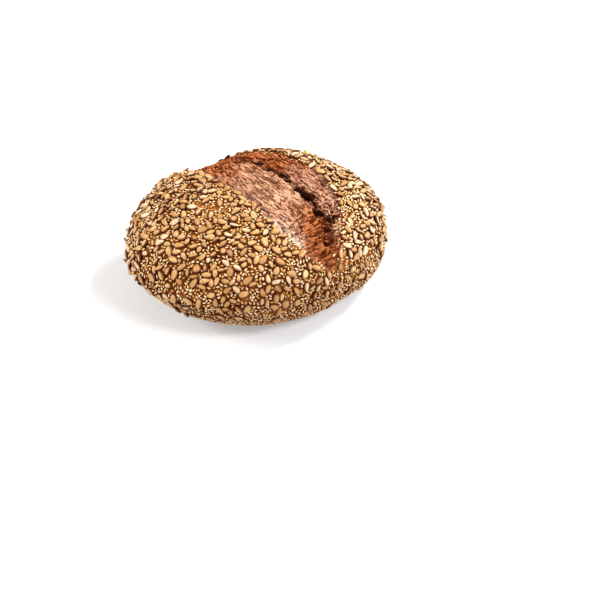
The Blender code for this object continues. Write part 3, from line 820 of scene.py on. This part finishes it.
class Nodes:
    """Short ways to build a node material."""

    def __init__(self, name):
        self.material = bpy.data.materials.new(name)
        self.material.use_nodes = True
        self.tree = self.material.node_tree
        self.shader = self.tree.nodes["Principled BSDF"]

    def put(self, target, value):
        if isinstance(value, bpy.types.NodeSocket):
            self.tree.links.new(value, target)
        else:
            target.default_value = value

    def add(self, kind, **inputs):
        node = self.tree.nodes.new(kind)
        for name, value in inputs.items():
            self.put(node.inputs[name], value)
        return node

    def attribute(self, name, output="Fac"):
        node = self.tree.nodes.new("ShaderNodeAttribute")
        node.attribute_name = name
        return node.outputs[output]

    def coordinates(self):
        return self.tree.nodes.new("ShaderNodeTexCoord").outputs["Object"]

    def scaled(self, vector, scale):
        return self.add("ShaderNodeMapping", Vector=vector, Scale=scale).outputs["Vector"]

    def noise(self, vector, size, detail=2.0, roughness=0.5):
        inputs = {"Vector": vector, "Scale": 1.0 / size, "Detail": detail, "Roughness": roughness}
        return self.add("ShaderNodeTexNoise", **inputs).outputs["Fac"]

    def math(self, operation, a, b):
        node = self.tree.nodes.new("ShaderNodeMath")
        node.operation = operation
        self.put(node.inputs[0], a)
        self.put(node.inputs[1], b)
        return node.outputs[0]

    def plus(self, a, b):
        return self.math("ADD", a, b)

    def times(self, a, b):
        return self.math("MULTIPLY", a, b)

    def span(self, value, low, high, to_low=0.0, to_high=1.0):
        """Runs from to_low at low to to_high at high, and stays there beyond."""
        node = self.tree.nodes.new("ShaderNodeMapRange")
        node.clamp = True
        for index, v in enumerate((value, low, high, to_low, to_high)):
            self.put(node.inputs[index], v)
        return node.outputs[0]

    def mix(self, factor, a, b):
        node = self.tree.nodes.new("ShaderNodeMix")
        node.data_type = "RGBA"
        self.put(node.inputs["Factor"], factor)
        for socket, value in ((node.inputs[6], a), (node.inputs[7], b)):
            self.put(socket, value if isinstance(value, bpy.types.NodeSocket) else (*value, 1.0))
        return node.outputs[2]

    def bump(self, height, strength, distance):
        node = self.add("ShaderNodeBump", Height=height, Strength=strength, Distance=distance)
        return node.outputs["Normal"]

    def finish(self, colour, roughness, specular, normal=None):
        """The material, once the shader has these."""
        self.put(self.shader.inputs["Base Color"], colour)
        self.put(self.shader.inputs["Roughness"], roughness)
        self.put(self.shader.inputs["Specular IOR Level"], specular)
        if normal is not None:
            self.put(self.shader.inputs["Normal"], normal)
        return self.material


def crust_material():
    """The lobes between and under the seeds: well browned, darker in places, with painted shade where the seeds
    crowd, floury at the split.
    """
    n = Nodes("baked_crust")
    place = n.coordinates()
    blotch = n.noise(place, size=0.028, detail=3.0)
    fine = n.noise(place, size=0.0022, detail=4.0, roughness=0.65)
    # Where seeds crowd, the crust is darker, partly roasting and partly painted shade; bare patches keep the
    # lighter crust.
    colour = n.mix(n.span(blotch, 0.35, 0.65), *ROASTED_AND_SHADED_CRUST_COLOURS)
    colour = n.mix(n.span(fine, 0.44, 0.72, 0.0, 0.75), colour, CRUST_FLECKS)
    bare = n.mix(n.span(fine, 0.35, 0.65), *BARE_CRUST_COLOURS)
    colour = n.mix(n.times(n.attribute("bare"), 0.8), colour, bare)
    flour = n.times(n.attribute("flour"), n.span(n.noise(place, size=0.003, detail=3.0), 0.40, 0.60))
    colour = n.mix(n.times(flour, 0.65), colour, CRUST_FLOUR)
    grain = n.times(n.noise(place, size=0.0045), 1.5)
    grain = n.plus(n.noise(place, size=0.0012, detail=4.0, roughness=0.6), grain)
    bump = n.bump(grain, strength=0.7, distance=0.0007)
    return n.finish(colour, n.span(fine, 0.3, 0.7, 0.60, 0.80), 0.0, bump)


def torn_material():
    """The split: brown torn crust, paler in the middle, floury along the near edge, with painted shade in its
    tears and hollows and painted highlight on its ridges.
    """
    n = Nodes("torn_crust")
    names = "paler", "far_side", "low_end", "flour", "torn_height", "tears"
    paler, far_side, low_end, flour, torn_height, tears = (n.attribute(name) for name in names)
    place = n.coordinates()
    lengthwise, crosswise = n.scaled(place, (0.14, 1.0, 1.0)), n.scaled(place, (1.0, 0.16, 1.0))

    def strands(size, detail, roughness):
        """Noise drawn out along the split, and across it at its low end."""
        along, across = (n.noise(vector, size, detail, roughness) for vector in (lengthwise, crosswise))
        return n.plus(along, n.times(low_end, n.math("SUBTRACT", across, along)))

    fine = strands(0.0019, detail=3.0, roughness=0.7)
    finest = strands(0.0010, detail=2.0, roughness=0.5)
    patch = n.span(strands(0.011, detail=3.0, roughness=0.5), 0.3, 0.7)
    low_end_share = n.times(low_end, 0.85)
    colour = n.mix(paler, n.mix(patch, *TORN_COLOURS), n.mix(patch, *MIDDLE_COLOURS))
    colour = n.mix(n.times(far_side, 0.85), colour, FAR_SIDE_COLOUR)
    colour = n.mix(low_end_share, colour, LOW_END_COLOUR)

    # Ridges are lighter, and the hollows between them darker: partly the crumb's own streaks, partly painted
    # highlight on the raised strands and painted shade in the hollows.
    light = n.plus(n.span(fine, 0.40, 0.60, -0.95, 0.95), n.span(torn_height, -1.2, 1.2, -0.7, 0.7))
    light = n.plus(n.span(finest, 0.38, 0.62, -0.95, 0.95), light)
    lighter = n.mix(low_end_share, TORN_PALE_STREAKS_AND_RIDGE_LIGHT, LOW_END_PALE_STREAKS_AND_RIDGE_LIGHT)
    lighter = n.mix(paler, lighter, MIDDLE_PALE_STREAKS_AND_RIDGE_LIGHT)
    lighter = n.mix(far_side, lighter, FAR_SIDE_PALE_STREAKS_AND_RIDGE_LIGHT)
    colour = n.mix(n.span(light, 0.05, 0.70, 0.0, 0.95), colour, lighter)
    dark = n.times(n.span(light, 0.0, -0.60, 0.0, 0.92), n.span(paler, 0.0, 1.0, 1.0, 0.62))
    colour = n.mix(dark, colour, TORN_DARK_STREAKS_AND_HOLLOW_SHADE)

    fibres = n.noise(lengthwise, size=0.0015, detail=3.0, roughness=0.6)
    fibres = n.span(n.plus(fibres, n.times(flour, 0.12)), 0.50, 0.60)
    colour = n.mix(n.times(fibres, n.span(flour, 0.03, 0.40, 0.0, 0.76)), colour, TORN_FLOUR)
    # Painted shade: the deeper the tear, the nearer to black.
    colour = n.mix(n.span(tears, 0.5, 2.0), colour, TEAR_PAINTED_SHADE)
    bump = n.bump(strands(0.0011, detail=4.0, roughness=0.7), strength=1.0, distance=0.0014)
    return n.finish(colour, n.span(fine, 0.3, 0.7, 0.65, 0.82), 0.03, bump)


def kernel_material():
    """Roasted sunflower kernels: golden tan, each of its own tone, with fine lines, and darker towards the rim
    and underside, partly roasting and partly painted shade.
    """
    n = Nodes("sunflower_kernel")
    own, tone = n.attribute("own_place", "Vector"), n.attribute("tone")
    lines = n.noise(n.scaled(own, (1.0, 7.0, 3.0)), size=1.0, detail=3.0)
    blotch = n.noise(own, size=0.55, detail=3.0)
    colour = n.mix(tone, *KERNEL_COLOURS)
    colour = n.mix(n.span(tone, 0.86, 0.98, 0.0, 0.85), colour, PALE_KERNEL)
    colour = n.mix(n.span(blotch, 0.42, 0.70, 0.0, 0.7), colour, KERNEL_BLOTCHES)
    colour = n.mix(n.span(lines, 0.48, 0.68, 0.0, 0.65), colour, KERNEL_LINES)
    # Painted shade, with some toasting: darker towards the rim and underside, lightest on top.
    colour = n.mix(n.span(n.attribute("off_top"), 0.16, 0.56), colour, KERNEL_RIM_TOAST_AND_SHADE)
    bump = n.bump(lines, strength=0.9, distance=0.0008)
    return n.finish(colour, n.span(blotch, 0.3, 0.7, *SEED_ROUGHNESS), SEED_SPECULAR, bump)


def sesame_material(name, darker, lighter):
    """Sesame seeds, each of a tone between these two, and darker along the rim and underside, partly toasting
    and partly painted shade.
    """
    n = Nodes(name)
    blotch = n.noise(n.attribute("own_place", "Vector"), size=0.6)
    colour = n.mix(n.attribute("tone"), darker, lighter)
    colour = n.mix(n.span(blotch, 0.5, 0.8, 0.0, 0.45), colour, tuple(0.6 * c for c in darker))
    # Painted shade, with some toasting: darker towards the rim and underside, lightest on top.
    colour = n.mix(n.span(n.attribute("off_top"), 0.18, 0.72), colour, SESAME_RIM_TOAST_AND_SHADE)
    bump = n.bump(blotch, strength=0.3, distance=0.0002)
    return n.finish(colour, n.span(blotch, 0.3, 0.7, *SEED_ROUGHNESS), SEED_SPECULAR, bump)


def add_floor():
    half = FLOOR_HALF_WIDTH
    corners = [(-half, -half, 0), (half, -half, 0), (half, half, 0), (-half, half, 0)]
    mesh = bpy.data.meshes.new("floor")
    mesh.from_pydata(corners, [], [(0, 1, 2, 3)])
    floor = bpy.data.objects.new("floor", mesh)
    bpy.context.scene.collection.objects.link(floor)
    n = Nodes("floor")
    n.put(n.shader.inputs["Emission Color"], WHITE)
    n.put(n.shader.inputs["Emission Strength"], FLOOR_GLOW)
    mesh.materials.append(n.finish(FLOOR_COLOUR, 0.6, 0.2))


def view_axes(azimuth, elevation):
    """The unit vectors from the loaf back to a viewer at these angles, to its right and up."""
    a, e = math.radians(azimuth), math.radians(elevation)
    back = Vector((math.sin(a) * math.cos(e), -math.cos(a) * math.cos(e), math.sin(e)))
    right = Vector((math.cos(a), math.sin(a), 0.0))
    return back, right, back.cross(right)


def add_lights():
    """An evenly white room, and soft square lamps aimed at the loaf."""
    world = bpy.data.worlds.new("studio")
    bpy.context.scene.world = world
    world.use_nodes = True
    background = world.node_tree.nodes["Background"]
    background.inputs["Color"].default_value = WHITE
    background.inputs["Strength"].default_value = ROOM_LIGHT
    for name, azimuth, elevation, distance, size, power, colour in LAMPS:
        back, _, _ = view_axes(CAMERA_AZIMUTH + azimuth, elevation)
        data = bpy.data.lights.new(name, "AREA")
        data.size = size
        data.energy = power
        data.color = colour
        lamp = bpy.data.objects.new(name, data)
        lamp.location = back * distance + Vector((0.0, 0.0, LAMP_AIM_HEIGHT))
        lamp.rotation_euler = back.to_track_quat("Z", "Y").to_euler()
        bpy.context.scene.collection.objects.link(lamp)


def add_camera():
    back, right, up = view_axes(CAMERA_AZIMUTH, CAMERA_ELEVATION)
    middle = Vector(CENTRE_SHIFT) + Vector((0.0, 0.0, LOAF_MIDDLE_HEIGHT))
    aim = middle + right * LOAF_ACROSS - up * LOAF_DOWN
    data = bpy.data.cameras.new("camera")
    data.sensor_fit = "HORIZONTAL"
    data.angle = 2.0 * math.atan(VIEW_WIDTH / 2.0 / CAMERA_DISTANCE)
    camera = bpy.data.objects.new("camera", data)
    camera.location = middle + back * CAMERA_DISTANCE
    camera.rotation_euler = (camera.location - aim).to_track_quat("Z", "Y").to_euler()
    bpy.context.scene.collection.objects.link(camera)
    bpy.context.scene.camera = camera


add_crust()
add_seeds()
add_floor()
add_lights()
add_camera()
bpy.context.scene.view_settings.view_transform = "Standard"
